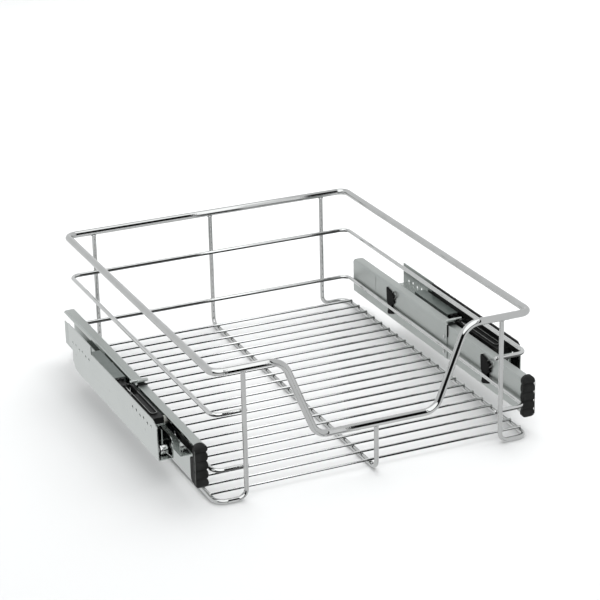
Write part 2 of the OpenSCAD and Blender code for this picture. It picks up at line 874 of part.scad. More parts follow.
// Body with a tunnel for the damper and a lane for the catch; the right one has a fin against its plate
module damper_housing(has_fin) {
  rib_x = [housing_x0 + 3.2, housing_x0 + 11];
  rib_y = [housing_y0 + 11, housing_y1 - 24];
  rib_w = 1.6;
  rib_top = housing_z1 + rib_h;
  rib_mid = (rib_x[0] + rib_x[1]) / 2;
  rib_r = (rib_x[1] - rib_x[0]) / 2;
  fin_x0 = plate_x0 - fin_t;
  color(black_plastic)
    difference() {
      union() {
        block([housing_x0, housing_y0, guide_z1], [housing_x1, housing_y1, housing_z1]);
        if (has_fin)
          along_x(fin_x0, plate_x0) {
            translate([plate_y0, plate_front_z - 6])
              square([plate_step_y - plate_y0, fin_z1 - fin_corner_r - plate_front_z + 6]);
            translate([plate_y0 + fin_corner_r, plate_front_z - 6])
              square([plate_step_y - plate_y0 - fin_corner_r, fin_z1 - plate_front_z + 6]);
            translate([plate_y0 + fin_corner_r, fin_z1 - fin_corner_r])
              circle(fin_corner_r);
          }
        // U-shaped rib, closed at its front end
        for (x = rib_x)
          block([x - rib_w / 2, rib_y[0] + rib_r, housing_z1], [x + rib_w / 2, rib_y[1], rib_top]);
        intersection() {
          translate([rib_mid, rib_y[0] + rib_r, housing_z1])
            difference() {
              cylinder(h = rib_h, r = rib_r + rib_w / 2);
              translate([0, 0, -1])
                cylinder(h = rib_h + 2, r = rib_r - rib_w / 2);
            }
          block([housing_x0, rib_y[0] - rib_w, housing_z1], [housing_x1, rib_y[0] + rib_r, rib_top]);
        }
      }
      lengthwise(cylinder_y0 - fixed_gap, lane_y0 + 1, damper_x, damper_z, damper_d + 2 * fixed_gap);
      block(
        [damper_x - lane_w / 2, lane_y0, guide_z1 - 1],
        [damper_x + lane_w / 2, housing_y1 + 1, housing_z1 + rib_h + 1]
      );
    }
}

module damper_cylinder() {
  bore_d = damper_d - 2 * cylinder_wall;
  color(steel)
    difference() {
      lengthwise(cylinder_y0, cylinder_y1, damper_x, damper_z, damper_d);
      lengthwise(cylinder_y0 + cylinder_end, cylinder_y1 - cylinder_end, damper_x, damper_z, bore_d);
      lengthwise(
        cylinder_y1 - cylinder_end - 1, cylinder_y1 + 1,
        damper_x, damper_z, rod_d + 2 * pin_gap
      );
    }
}

// Rod and piston, fixed to the catch
module damper_rod() {
  piston_d = damper_d - 2 * cylinder_wall - 2 * pin_gap;
  color(steel) {
    lengthwise(rod_end_y, catch_y0, damper_x, damper_z, rod_d);
    lengthwise(rod_end_y - piston_len, rod_end_y, damper_x, damper_z, piston_d);
  }
}

// Sliding catch: a saddle between two pairs of prongs
module damper_catch() {
  prong_len = 5;
  prong_x = catch_w / 2;
  saddle_z = damper_z + 1;
  color(black_plastic)
    difference() {
      block([damper_x - prong_x, catch_y0, catch_z0], [damper_x + prong_x, catch_y1, catch_z1]);
      block(
        [damper_x - prong_x - 1, catch_y0 + prong_len, saddle_z],
        [damper_x + prong_x + 1, catch_y1 - prong_len, catch_z1 + 1]
      );
      block(
        [damper_x - prong_x / 3, catch_y0 - 1, saddle_z],
        [damper_x + prong_x / 3, catch_y1 + 1, catch_z1 + 1]
      );
    }
}

// Tension spring that pulls the catch back, as a plain tube over its coils
module catch_spring() {
  color(steel)
    difference() {
      lengthwise(catch_y1 + slide_gap, spring_post_y, damper_x, damper_z, spring_d);
      lengthwise(
        catch_y1 + slide_gap - 1, spring_post_y + 1,
        damper_x, damper_z, spring_d - 2 * spring_wire_d
      );
    }
}

// Dark cover over the spring, open towards the catch
module damper_cover() {
  deck_z0 = housing_z1 - cover_t;
  color(dark_steel) {
    block([housing_x0, cover_y0, deck_z0], [cover_x1, cover_y1, housing_z1]);
    block([housing_x0, cover_y0, guide_z1], [housing_x0 + cover_t, cover_y1, deck_z0]);
    block([housing_x0 + cover_t, cover_y1 - cover_t, guide_z1], [cover_x1, cover_y1, deck_z0]);
    block(
      [damper_x - spring_d / 2, spring_post_y, guide_z1],
      [damper_x + spring_d / 2, spring_post_y + spring_post_t, deck_z0]
    );
  }
}

rim();
middle_ring();
lower_ring();
left() side_frame();  // side_frame_left
side_frame();  // side_frame_right
centre_frame();
floor_wires();

left() channel_rear();  // left_channel_rear
left() channel_front();  // left_channel_front
left() channel_rivets();  // left_channel_rivets
left() wire_clips();  // left_wire_clips
left() end_cap();  // left_end_cap
left() intermediate_rail();  // left_intermediate_rail
left() roller_pins();  // left_roller_pins
left() slot_roller(front_slot_roller_y);  // left_front_slot_roller
left() slot_roller(rear_slot_roller_y);  // left_rear_slot_roller
left() rear_roller();  // left_rear_roller
left() mounting_plate();  // left_mounting_plate
left() guide_rail();  // left_guide_rail
left() rail_rivets();  // left_rail_rivets
left() front_roller();  // left_front_roller
left() front_axle();  // left_front_axle
left() damper_housing(false);  // left_damper_housing
left() damper_cylinder();  // left_damper_cylinder
left() damper_rod();  // left_damper_rod
left() damper_catch();  // left_damper_catch
left() catch_spring();  // left_catch_spring
left() damper_cover();  // left_damper_cover

channel_rear();  // right_channel_rear
channel_front();  // right_channel_front
channel_rivets();  // right_channel_rivets
wire_clips();  // right_wire_clips
end_cap();  // right_end_cap
intermediate_rail();  // right_intermediate_rail
roller_pins();  // right_roller_pins
slot_roller(front_slot_roller_y);  // right_front_slot_roller
slot_roller(rear_slot_roller_y);  // right_rear_slot_roller
rear_roller();  // right_rear_roller
mounting_plate();  // right_mounting_plate
guide_rail();  // right_guide_rail
rail_rivets();  // right_rail_rivets
front_roller();  // right_front_roller
front_axle();  // right_front_axle
damper_housing(true);  // right_damper_housing
damper_cylinder();  // right_damper_cylinder
damper_rod();  // right_damper_rod
damper_catch();  // right_damper_catch
catch_spring();  // right_catch_spring
damper_cover();  // right_damper_cover
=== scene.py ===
"""Pull-out wire basket on a pair of soft-close runners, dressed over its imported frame."""

import math

import bmesh
import bpy
from mathutils import Matrix, Vector, noise


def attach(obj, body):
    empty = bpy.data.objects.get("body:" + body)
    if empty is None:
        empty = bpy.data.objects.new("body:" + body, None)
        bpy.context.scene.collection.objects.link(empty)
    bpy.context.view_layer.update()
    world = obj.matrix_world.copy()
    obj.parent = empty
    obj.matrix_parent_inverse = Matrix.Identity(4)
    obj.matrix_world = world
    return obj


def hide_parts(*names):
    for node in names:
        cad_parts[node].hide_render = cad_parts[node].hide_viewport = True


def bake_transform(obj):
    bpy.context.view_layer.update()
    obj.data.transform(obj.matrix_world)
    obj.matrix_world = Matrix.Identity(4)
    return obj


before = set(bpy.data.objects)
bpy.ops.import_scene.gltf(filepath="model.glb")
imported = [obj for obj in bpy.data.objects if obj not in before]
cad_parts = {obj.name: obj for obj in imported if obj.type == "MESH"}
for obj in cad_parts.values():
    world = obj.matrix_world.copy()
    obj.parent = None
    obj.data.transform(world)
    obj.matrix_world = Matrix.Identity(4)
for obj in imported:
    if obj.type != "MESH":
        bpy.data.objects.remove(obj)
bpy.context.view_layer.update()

# ---- Camera ----
# A long lens in front and to the left of the basket, a little above it.
# Its place and aim are in metres and degrees in the basket's own frame.
camera_place = (-0.9363, -2.1528, 1.0429)
camera_heading = math.radians(-23.905)
camera_tilt = math.radians(21.439)
camera_roll = math.radians(-1.229)
ahead = Vector((
    -math.sin(camera_heading) * math.cos(camera_tilt),
    math.cos(camera_heading) * math.cos(camera_tilt),
    -math.sin(camera_tilt),
))
level_right = Vector((math.cos(camera_heading), math.sin(camera_heading), 0))
level_up = level_right.cross(ahead)
right_hand = level_right * math.cos(camera_roll) + level_up * math.sin(camera_roll)
camera_up = level_up * math.cos(camera_roll) - level_right * math.sin(camera_roll)
camera_lens = bpy.data.cameras.new("long_lens")
camera_lens.lens = 125.357
camera_lens.sensor_width = 36
camera_lens.sensor_fit = "HORIZONTAL"
camera = bpy.data.objects.new("long_lens", camera_lens)
camera.matrix_world = Matrix.Translation(camera_place) @ Matrix((
    (right_hand.x, camera_up.x, -ahead.x, 0),
    (right_hand.y, camera_up.y, -ahead.y, 0),
    (right_hand.z, camera_up.z, -ahead.z, 0),
    (0, 0, 0, 1),
))
bpy.context.scene.collection.objects.link(camera)
bpy.context.scene.camera = camera


# ---- Table and light ----
# A white table under a large pale tent, with one soft lamp over the right rear corner.
# Most of the light comes through the tent's open top. Its front has a dark opening and
# four upright strips, so that the plated wires and sheets show their form.
class Tone:
    """One value in a finish. Sums, differences and products of tones add their Math nodes."""

    def __init__(self, finish, socket):
        self.finish = finish
        self.socket = socket

    def worked(self, operation, *values):
        return self.finish.node(
            "ShaderNodeMath", {"operation": operation}, dict(enumerate(values))
        )

    def __add__(self, other):
        return self.worked("ADD", self, other)

    def __mul__(self, other):
        return self.worked("MULTIPLY", self, other)

    def __sub__(self, other):
        return self.worked("SUBTRACT", self, other)

    def __rsub__(self, other):
        return self.worked("SUBTRACT", other, self)

    def __abs__(self):
        return self.worked("ABSOLUTE", self)

    __radd__ = __add__
    __rmul__ = __mul__


class Finish:
    """The node tree of one finish."""

    def __init__(self, tree):
        self.tree = tree

    def node(self, kind, settings, sockets, output=0):
        """Adds a node: its settings come first, then the values or tones of its sockets."""
        made = self.tree.nodes.new(kind)
        for name, value in settings.items():
            if name == "stops":
                band = made.color_ramp
                while len(band.elements) < len(value):
                    band.elements.new(0.5)
                for element, (place, colour) in zip(band.elements, value):
                    element.position = place
                    element.color = colour
            else:
                setattr(made, name, value)
        for name, value in sockets.items():
            self.feed(made.inputs[name], value)
        return Tone(self, made.outputs[output])

    def feed(self, socket, value):
        if isinstance(value, Tone):
            self.tree.links.new(value.socket, socket)
        else:
            socket.default_value = value

    def fade(self, value, start, end, change="SMOOTHSTEP"):
        """0 up to the start and 1 from the end, with a soft change between them."""
        return self.node(
            "ShaderNodeMapRange", {"interpolation_type": change},
            {"Value": value, "From Min": start, "From Max": end},
        )

    def patches(self, place, scale, detail=2.0):
        """Soft random patches, smaller with a higher scale."""
        return self.node(
            "ShaderNodeTexNoise", {}, {"Vector": place, "Scale": scale, "Detail": detail}, "Fac"
        )

    def axes(self, place, names):
        return (self.node("ShaderNodeSeparateXYZ", {}, {0: place}, name) for name in names)


def new_finish(name, constants):
    """A material with one Principled shader, and its finish to build on."""
    material = bpy.data.materials.new(name)
    material.use_nodes = True
    finish = Finish(material.node_tree)
    finish.material = material
    finish.shader = material.node_tree.nodes["Principled BSDF"].inputs
    for socket, value in constants.items():
        finish.feed(finish.shader[socket], value)
    return finish


def shown(name, mesh):
    piece = bpy.data.objects.new(name, mesh)
    bpy.context.scene.collection.objects.link(piece)
    return piece


scene = bpy.context.scene
scene.view_settings.view_transform = "Standard"
scene.world = bpy.data.worlds.new("white_tent")
scene.world.use_nodes = True
tent = Finish(scene.world.node_tree)
tent_side = tent.node("ShaderNodeTexCoord", {}, {}, "Generated")
tent_right, tent_back, tent_height = tent.axes(tent_side, "XYZ")
wall_light, opening_light, top_light, roof_pitch = 0.88, 0.01, 1.85, 0.635
slope = tent_height - roof_pitch * tent_back
front_side = tent.fade(tent_back, -0.34, -0.42)

open_top = tent.fade(slope, 0.71, 0.79) * tent.fade(tent_right, 0.385, 0.36)
opening = front_side * tent.fade(tent_right, 0.435, 0.415)
upper_opening = tent.fade(tent_height, -0.32, -0.3)
lower_opening = tent.fade(tent_height, -0.42, -0.44) * tent.fade(tent_right, 0.18, 0.24)
tent_wall = wall_light - (wall_light - opening_light) * opening * (upper_opening + lower_opening)
tent_light = tent_wall + (top_light - tent_wall) * open_top

# The strips of the tent's front, from left to right: where each begins and is full, where
# it is last full and ends, and its light, which changes with the height
strips = (
    (0.262, 0.270, 0.337, 0.339,
     0.97 - 0.965 * tent.fade(tent_height, -0.2, -0.14) + 1.84 * tent.fade(slope, 1.1, 1.18)),
    (0.337, 0.339, 0.357, 0.360,
     0.9 - 0.895 * tent.fade(tent_height, -0.86, -0.8) + 1.85 * tent.fade(slope, 0.68, 0.74)),
    (0.357, 0.360, 0.386, 0.389,
     0.4 + 0.7 * tent.fade(tent_height, -0.6, -0.35)),
    (0.386, 0.389, 0.436, 0.450,
     0.98 - 0.97 * tent.fade(tent_height, -0.3, -0.24) + 1.0 * tent.fade(slope, 1.1, 1.16)),
)
for left_end, left_full, right_full, right_end, strip_light in strips:
    strip = (
        front_side * tent.fade(tent_right, left_end, left_full)
        * tent.fade(tent_right, right_end, right_full)
    )
    tent_light = tent_light + (strip_light - tent_light) * strip
tent_sky = next(n for n in scene.world.node_tree.nodes if n.type == "BACKGROUND")
tent.feed(tent_sky.inputs["Color"], (0.985, 0.995, 1.0, 1.0))
tent.feed(tent_sky.inputs["Strength"], tent_light)

soft_lamp = bpy.data.lights.new("soft_lamp", "AREA")
soft_lamp.shape = "DISK"
soft_lamp.size = 2.8
soft_lamp.energy = 56
soft_lamp_stand = bpy.data.objects.new("soft_lamp", soft_lamp)
soft_lamp_stand.location = (0.85, 0.8, 1.35)
soft_lamp_stand.rotation_mode = "QUATERNION"
soft_lamp_stand.rotation_quaternion = (-soft_lamp_stand.location).to_track_quat("-Z", "Y")
soft_lamp_stand.visible_glossy = False
scene.collection.objects.link(soft_lamp_stand)

table_radius, table_z = 25, -0.0002
wall_radius, wall_bottom, wall_top = 24, -0.1, 14
round_steps = 96


def round_line(radius, z):
    """Points on a circle round the basket, in metres."""
    turns = (math.tau * i / round_steps for i in range(round_steps))
    return [(radius * math.cos(a), radius * math.sin(a), z) for a in turns]


table_paint = new_finish(
    "white_table", {"Base Color": (0.56, 0.563, 0.563, 1), "Specular IOR Level": 0.25}
)
table_place = table_paint.node("ShaderNodeTexCoord", {}, {}, "Object")
table_paint.feed(table_paint.shader["Roughness"], 0.62 + 0.06 * table_paint.patches(table_place, 6.0))
table_mesh = bpy.data.meshes.new("white_table")
table_mesh.from_pydata(round_line(table_radius, table_z), [], [range(round_steps)])
table_mesh.materials.append(table_paint.material)
table = shown("white_table", table_mesh)
table.visible_glossy = False

# The paper wall round the table is only there for the camera
wall_paint = new_finish("paper_wall", {
    "Base Color": (0, 0, 0, 1), "Emission Color": (0.98, 0.985, 0.985, 1), "Emission Strength": 1.0,
})
wall_mesh = bpy.data.meshes.new("paper_wall")
wall_mesh.from_pydata(
    round_line(wall_radius, wall_bottom) + round_line(wall_radius, wall_top),
    [],
    [
        (i, (i + 1) % round_steps, round_steps + (i + 1) % round_steps, round_steps + i)
        for i in range(round_steps)
    ],
)
wall_mesh.materials.append(wall_paint.material)
paper_wall = shown("paper_wall", wall_mesh)
paper_wall.visible_diffuse = False
paper_wall.visible_glossy = False
paper_wall.visible_transmission = False
paper_wall.visible_shadow = False

# ---- Rim ----
# A round steel rod bent into a closed frame, with a dip in front to reach in by.
# It is welded end to end, then plated with bright chrome.
mm = 0.001


def shaded(finish, amount, stops):
    """A colour that follows an amount through a ramp's stops."""
    return finish.node("ShaderNodeValToRGB", {"stops": stops}, {"Fac": amount}, "Color")


def roughened(finish, strength, depth, height):
    """Gives the finish a fine unevenness, with its depth in metres."""
    bump = finish.node(
        "ShaderNodeBump", {}, {"Strength": strength, "Distance": depth, "Height": height}, "Normal"
    )
    finish.feed(finish.shader["Normal"], bump)


def chrome_plate(name, haze_low, haze_high, ripple, shade=0.50, underside=1.0):
    """Bright chrome on drawn wire: faint haze in patches, and a slight ripple.

    An underside below 1 darkens the base colour of the wire's lower side where it faces front or
    back: painted shade.
    """
    finish = new_finish(name, {"Metallic": 1.0, "Specular Tint": (1, 1, 1, 1)})
    place = finish.node("ShaderNodeTexCoord", {}, {}, "Object")
    haze = finish.patches(place, 38.0, 3.0)
    grain = finish.patches(place, 700.0)
    colour = shaded(finish, haze, (
        (0.3, (shade, shade * 1.01, shade, 1)),
        (0.7, (shade * 1.08, shade * 1.09, shade * 1.08, 1)),
    ))
    # Painted shade: a darker base colour on the wire's lower side, facing front and back
    if underside < 1:
        facing = finish.node("ShaderNodeNewGeometry", {}, {}, "Normal")
        frontward, upward = finish.axes(facing, "YZ")
        below = finish.fade(upward, 0.25, 0.1) * finish.fade(abs(frontward), 0.25, 0.5)
        dark = (shade * underside, shade * underside * 1.01, shade * underside, 1)
        colour = finish.node(
            "ShaderNodeMix", {"data_type": "RGBA"}, {0: below, 6: colour, 7: dark}, 2
        )
    finish.feed(finish.shader["Base Color"], colour)
    finish.feed(finish.shader["Roughness"], haze_low + (haze_high - haze_low) * haze)
    roughened(finish, ripple, 0.0002, grain)
    return finish.material


bright_chrome = chrome_plate("bright_chrome", haze_low=0.004, haze_high=0.03, ripple=0.015)

# A wire's straight run is held this far before and after each bend, and at each end,
# so that its shading stays even
hold = 0.5 * mm


def round_section(middle, along, across, radius, sides):
    """The points of one ring of a round wire."""
    above = along.cross(across)
    return [
        middle + radius * (math.cos(a) * across + math.sin(a) * above)
        for a in (math.tau * k / sides for k in range(sides))
    ]


def ring_faces(here, there, sides):
    """The faces between two rings of points, each given by its first point."""
    return [
        (here + k, here + (k + 1) % sides, there + (k + 1) % sides, there + k)
        for k in range(sides)
    ]


def bent_line(path, bends, closed, steps):
    """Points and directions along a wire's middle line, in metres; path and bends are in mm."""
    corners = [Vector(p) * mm for p in path]
    line = []
    for i, corner in enumerate(corners):
        before = corners[i - 1] if closed or i else None
        after = corners[(i + 1) % len(corners)] if closed or i + 1 < len(corners) else None
        if before is None or after is None:
            along = (after - corner if before is None else corner - before).normalized()
            line.append((corner, along))
            continue
        along = (corner - before).normalized()
        onward = (after - corner).normalized()
        turn = along.angle(onward)
        radius = bends[i] * mm
        inward = (onward - onward.dot(along) * along).normalized()
        centre = corner - along * radius * math.tan(turn / 2) + inward * radius
        line.append((centre - radius * inward - hold * along, along))
        for k in range(steps + 1):
            a = turn * k / steps
            line.append((
                centre + radius * (math.sin(a) * along - math.cos(a) * inward),
                math.cos(a) * along + math.sin(a) * inward,
            ))
        line.append((line[-1][0] + hold * onward, onward))
    return line


def eased_ends(line, radius):
    """The rings of an open wire, with the edges of its two cut ends eased."""
    ease = 0.25 * radius
    start, way = line[0]
    end, way_out = line[-1]
    between = [(p, along, radius) for p, along in line[1:-1]]
    return [
        (start, way, radius - ease), (start + way * ease, way, radius),
        (start + way * (ease + hold), way, radius), *between,
        (end - way_out * (ease + hold), way_out, radius),
        (end - way_out * ease, way_out, radius), (end, way_out, radius - ease),
    ]


def drawn_wire(name, runs, thickness, finish=bright_chrome, closed=False, sides=24, steps=12):
    """One mesh of round wires. Each run is a path in mm with the radius of each of its bends."""
    points, faces = [], []
    radius = thickness * mm / 2
    for path, bends in runs:
        line = bent_line(path, bends, closed, steps)
        rings = [(p, along, radius) for p, along in line] if closed else eased_ends(line, radius)
        first = len(points)
        across = None
        for middle, along, ring_radius in rings:
            if closed:
                across = along.cross(Vector((0, 0, 1))).normalized()
            elif across is None:
                across = along.orthogonal().normalized()
            else:
                across = (across - across.dot(along) * along).normalized()
            points += round_section(middle, along, across, ring_radius, sides)
        count = len(rings)
        for i in range(count if closed else count - 1):
            faces += ring_faces(first + i * sides, first + (i + 1) % count * sides, sides)
        if not closed:
            faces.append([first + k for k in reversed(range(sides))])
            faces.append([first + (count - 1) * sides + k for k in range(sides)])
    mesh = bpy.data.meshes.new(name)
    mesh.from_pydata(points, [], faces)
    mesh.polygons.foreach_set("use_smooth", [len(f) == 4 for f in faces])
    mesh.materials.append(finish)
    return shown(name, mesh)


def fixed_to(piece, body, slot, *nodes):
    """The piece moves with a body and stands for the named solids, which it hides. Its slot is not
    used.
    """
    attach(piece, body)
    if nodes:
        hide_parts(*nodes)
    return piece


rim_x, rim_y, rim_z, rim_bend, rim_d = 195, 245, 157.75, 12, 8.5
dip_top_x, dip_top_bend = 113, 24
dip_bar_x, dip_bar_z, dip_bar_bend = 74, 60.2, 20
rim = drawn_wire(
    "rim_rod",
    [(
        [
            (-rim_x, rim_y, rim_z), (rim_x, rim_y, rim_z), (rim_x, -rim_y, rim_z),
            (dip_top_x, -rim_y, rim_z), (dip_bar_x, -rim_y, dip_bar_z),
            (-dip_bar_x, -rim_y, dip_bar_z), (-dip_top_x, -rim_y, rim_z),
            (-rim_x, -rim_y, rim_z),
        ],
        [
            rim_bend, rim_bend, rim_bend,
            dip_top_bend, dip_bar_bend, dip_bar_bend, dip_top_bend, rim_bend,
        ],
    )],
    rim_d, closed=True, sides=32, steps=14,
)
fixed_to(rim, "basket", "chrome_wire", "rim")

# ---- Rings ----
# Two round wires run round the back and the sides. Their front ends turn in
# and are welded behind the front uprights.
ring_x, ring_y, ring_end_x, ring_bend, ring_d = 194.4, 238.55, 154, 11, 5
middle_ring_z, lower_ring_z = 105.25, 38.4
# The rings' chrome has painted shade on their undersides
ring_chrome = chrome_plate(
    "ring_wire_chrome", haze_low=0.01, haze_high=0.04, ripple=0.015, shade=0.58, underside=0.2
)
for ring_name, ring_z in (("middle_ring", middle_ring_z), ("lower_ring", lower_ring_z)):
    ring = drawn_wire(
        ring_name + "_wire",
        [(
            [
                (-ring_end_x, -ring_y, ring_z), (-ring_x, -ring_y, ring_z),
                (-ring_x, ring_y, ring_z), (ring_x, ring_y, ring_z),
                (ring_x, -ring_y, ring_z), (ring_end_x, -ring_y, ring_z),
            ],
            [0, ring_bend, ring_bend, ring_bend, ring_bend, 0],
        )],
        ring_d, ring_chrome,
    )
    fixed_to(ring, "basket", "chrome_wire", ring_name)

# ---- Bent frame wires ----
# One wire on each side makes the front upright, the bottom rail and the rear upright.
# A third runs under the middle, from the dip's bar to the back of the rim.
both_sides = (("left", -1), ("right", 1))
frame_wire_d, foot_bend, rail_bend = 5.5, 10, 13
upright_x, weld_sink = 159, 1.2
upright_y = rim_y - (rim_d - frame_wire_d) / 2
upright_top = rim_z - rim_d / 2 + weld_sink
dip_upright_top = dip_bar_z - rim_d / 2 + weld_sink
rail_x, rail_z = rim_x, frame_wire_d / 2
for side_name, side in both_sides:
    bent_frame = drawn_wire(
        f"side_frame_{side_name}_wire",
        [(
            [
                (side * upright_x, -upright_y, upright_top), (side * upright_x, -upright_y, rail_z),
                (side * rail_x, -upright_y, rail_z), (side * rail_x, upright_y, rail_z),
                (side * upright_x, upright_y, rail_z), (side * upright_x, upright_y, upright_top),
            ],
            [0, foot_bend, rail_bend, rail_bend, foot_bend, 0],
        )],
        frame_wire_d,
    )
    fixed_to(bent_frame, "basket", "chrome_wire", f"side_frame_{side_name}")
middle_frame = drawn_wire(
    "centre_frame_wire",
    [(
        [
            (0, -upright_y, dip_upright_top), (0, -upright_y, rail_z),
            (0, upright_y, rail_z), (0, upright_y, upright_top),
        ],
        [0, foot_bend, foot_bend, 0],
    )],
    frame_wire_d,
)
fixed_to(middle_frame, "basket", "chrome_wire", "centre_frame")

# ---- Floor wires ----
# Twenty-one straight wires lie across the bottom rails and are spot-welded to them.
# They are the basket's thinnest wires, with painted shade on their undersides.
floor_wire_d, floor_pitch, floor_wires_each_way = 3, 22.7, 10
floor_squeeze, floor_overhang = 0.3, 1
floor_z = frame_wire_d + floor_wire_d / 2 - floor_squeeze
floor_reach = rail_x + floor_overhang
floor_places = [
    i * floor_pitch for i in range(-floor_wires_each_way, floor_wires_each_way + 1)
]
thin_chrome = chrome_plate(
    "thin_wire_chrome", haze_low=0.02, haze_high=0.06, ripple=0.02, shade=0.7, underside=0.03
)
floor_grid = drawn_wire(
    "floor_wire_set",
    [([(-floor_reach, y, floor_z), (floor_reach, y, floor_z)], [0, 0]) for y in floor_places],
    floor_wire_d, thin_chrome, sides=16,
)
floor_grid.visible_shadow = False
fixed_to(floor_grid, "basket", "chrome_wire", "floor_wires")

# ---- Welds ----
# Each crossing is a small squeezed spot weld, and the uprights end in a bead under the rim.
# They are plated over with the rest, so they are a little duller than the drawn wire.
weld_chrome = chrome_plate("chrome_over_weld", haze_low=0.16, haze_high=0.3, ripple=0.25)
# Half of each kind of bead along X, Y and Z
ring_weld, upright_weld, floor_weld = (3.0, 1.3, 2.6), (3.5, 3.3, 1.3), (1.5, 1.9, 0.7)
ring_weld_y, upright_weld_y = 240.9, 243.7
upright_weld_z, dip_weld_z = 153.4, 55.9
floor_weld_z = frame_wire_d - floor_squeeze / 2
lump_height, lump_scale, lump_shift = 0.16, 1.7, 3.1
weld_spots = []
for x in (-upright_x, upright_x):
    for end in (-1, 1):
        for z in (middle_ring_z, lower_ring_z):
            weld_spots.append(((x, end * ring_weld_y, z), ring_weld))
        weld_spots.append(((x, end * upright_weld_y, upright_weld_z), upright_weld))
for z in (middle_ring_z, lower_ring_z):
    weld_spots.append(((0, ring_weld_y, z), ring_weld))
weld_spots.append(((0, upright_weld_y, upright_weld_z), upright_weld))
weld_spots.append(((0, -upright_weld_y, dip_weld_z), upright_weld))
for y in floor_places:
    for x in (-rail_x, 0, rail_x):
        weld_spots.append(((x, y, floor_weld_z), floor_weld))
weld_mesh = bmesh.new()
for n, (middle, half) in enumerate(weld_spots):
    ball = bmesh.ops.create_icosphere(weld_mesh, subdivisions=2, radius=1)["verts"]
    for vert in ball:
        place = vert.co * lump_scale + Vector((n * lump_shift, 0, 0))
        lump = 1 + lump_height * noise.noise(place)
        vert.co = [(middle[k] + vert.co[k] * half[k] * lump) * mm for k in range(3)]
weld_data = bpy.data.meshes.new("weld_beads")
weld_mesh.to_mesh(weld_data)
weld_mesh.free()
weld_data.polygons.foreach_set("use_smooth", [True] * len(weld_data.polygons))
weld_data.materials.append(weld_chrome)
fixed_to(shown("weld_beads", weld_data), "basket", "chrome_wire")


# ---- Drawer channels ----
# Zinc-plated sheet folded into a box section on each side of the basket, in two lengths,
# the front one pushed into the rear one. The rear one ends in a flared lip, rolled into
# a bar that reaches over the cabinet member.
def zinc_plate(name, light, dark, shine_low, shine_high, polish=0.0):
    """Bright zinc on cold-rolled sheet: long rolling streaks, and a faint cloudy tint.

    The polish takes that much off the roughness of the outer sides, which face the cabinet.
    """
    finish = new_finish(name, {"Metallic": 1.0})
    place = finish.node("ShaderNodeTexCoord", {}, {}, "Object")
    lengthwise = finish.node(
        "ShaderNodeMapping", {}, {"Vector": place, "Scale": (420.0, 9.0, 420.0)}, "Vector"
    )
    streaks = finish.patches(lengthwise, 1.0, 3.0)
    clouds = finish.patches(place, 22.0, 4.0)
    spangle = finish.patches(place, 900.0, 1.0)
    colour = shaded(finish, 0.65 * clouds + 0.35 * streaks, ((0.25, dark), (0.75, light)))
    finish.feed(finish.shader["Base Color"], colour)
    roughness = shine_low + (shine_high - shine_low) * (0.5 * streaks + 0.5 * clouds)
    if polish:
        (across,) = finish.axes(place, "X")
        outer_side = finish.fade(abs(across), 0.2085, 0.2095, "LINEAR")
        roughness = roughness - polish * outer_side
    finish.feed(finish.shader["Roughness"], roughness)
    roughened(finish, 0.05, 0.0001, 0.7 * streaks + 0.3 * spangle)
    return finish.material


channel_zinc = zinc_plate(
    "channel_zinc", light=(0.50, 0.525, 0.51, 1), dark=(0.44, 0.465, 0.45, 1),
    shine_low=0.34, shine_high=0.42, polish=0.28,
)


def smooth_piece(name, shape, finish):
    """A shape made into a piece with rounded shading, which keeps its flat faces flat."""
    mesh = bpy.data.meshes.new(name)
    shape.to_mesh(mesh)
    shape.free()
    mesh.polygons.foreach_set("use_smooth", [True] * len(mesh.polygons))
    mesh.materials.append(finish)
    piece = shown(name, mesh)
    even = piece.modifiers.new("even_shading", "WEIGHTED_NORMAL")
    even.weight = 100
    return piece


def softened(shape, name, ease, finish, segments):
    """A shape made into a piece, with its edges eased by a small radius in mm."""
    sharpest = math.radians(30)
    sharp = [e for e in shape.edges if e.is_manifold and e.calc_face_angle() > sharpest]
    bmesh.ops.bevel(
        shape, geom=sharp, offset=ease * mm, segments=segments, profile=0.5,
        affect="EDGES", clamp_overlap=True,
    )
    return smooth_piece(name, shape, finish)


def eased(node, name, ease, finish, segments=2):
    """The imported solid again, with its edges eased."""
    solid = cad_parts[node].data
    shape = bmesh.new()
    corners = [shape.verts.new(v.co) for v in solid.vertices]
    for polygon in solid.polygons:
        shape.faces.new([corners[i] for i in polygon.vertices])
    bmesh.ops.remove_doubles(shape, verts=shape.verts, dist=0.004 * mm)
    bmesh.ops.dissolve_limit(
        shape, angle_limit=math.radians(0.6), verts=shape.verts, edges=shape.edges
    )
    return softened(shape, name, ease, finish, segments)


def stamped(name, outline, x_from, x_to, ease, finish):
    """A flat piece with an outline of (y, z) points and its thickness along X, all in mm."""
    shape = bmesh.new()
    near, far = (
        [shape.verts.new((x * mm, y * mm, z * mm)) for y, z in outline] for x in (x_from, x_to)
    )
    shape.faces.new(near)
    shape.faces.new(list(reversed(far)))
    for i in range(len(outline)):
        onward = (i + 1) % len(outline)
        shape.faces.new((near[i], far[i], far[onward], near[onward]))
    bmesh.ops.recalc_face_normals(shape, faces=shape.faces)
    return softened(shape, name, ease, finish, 2)


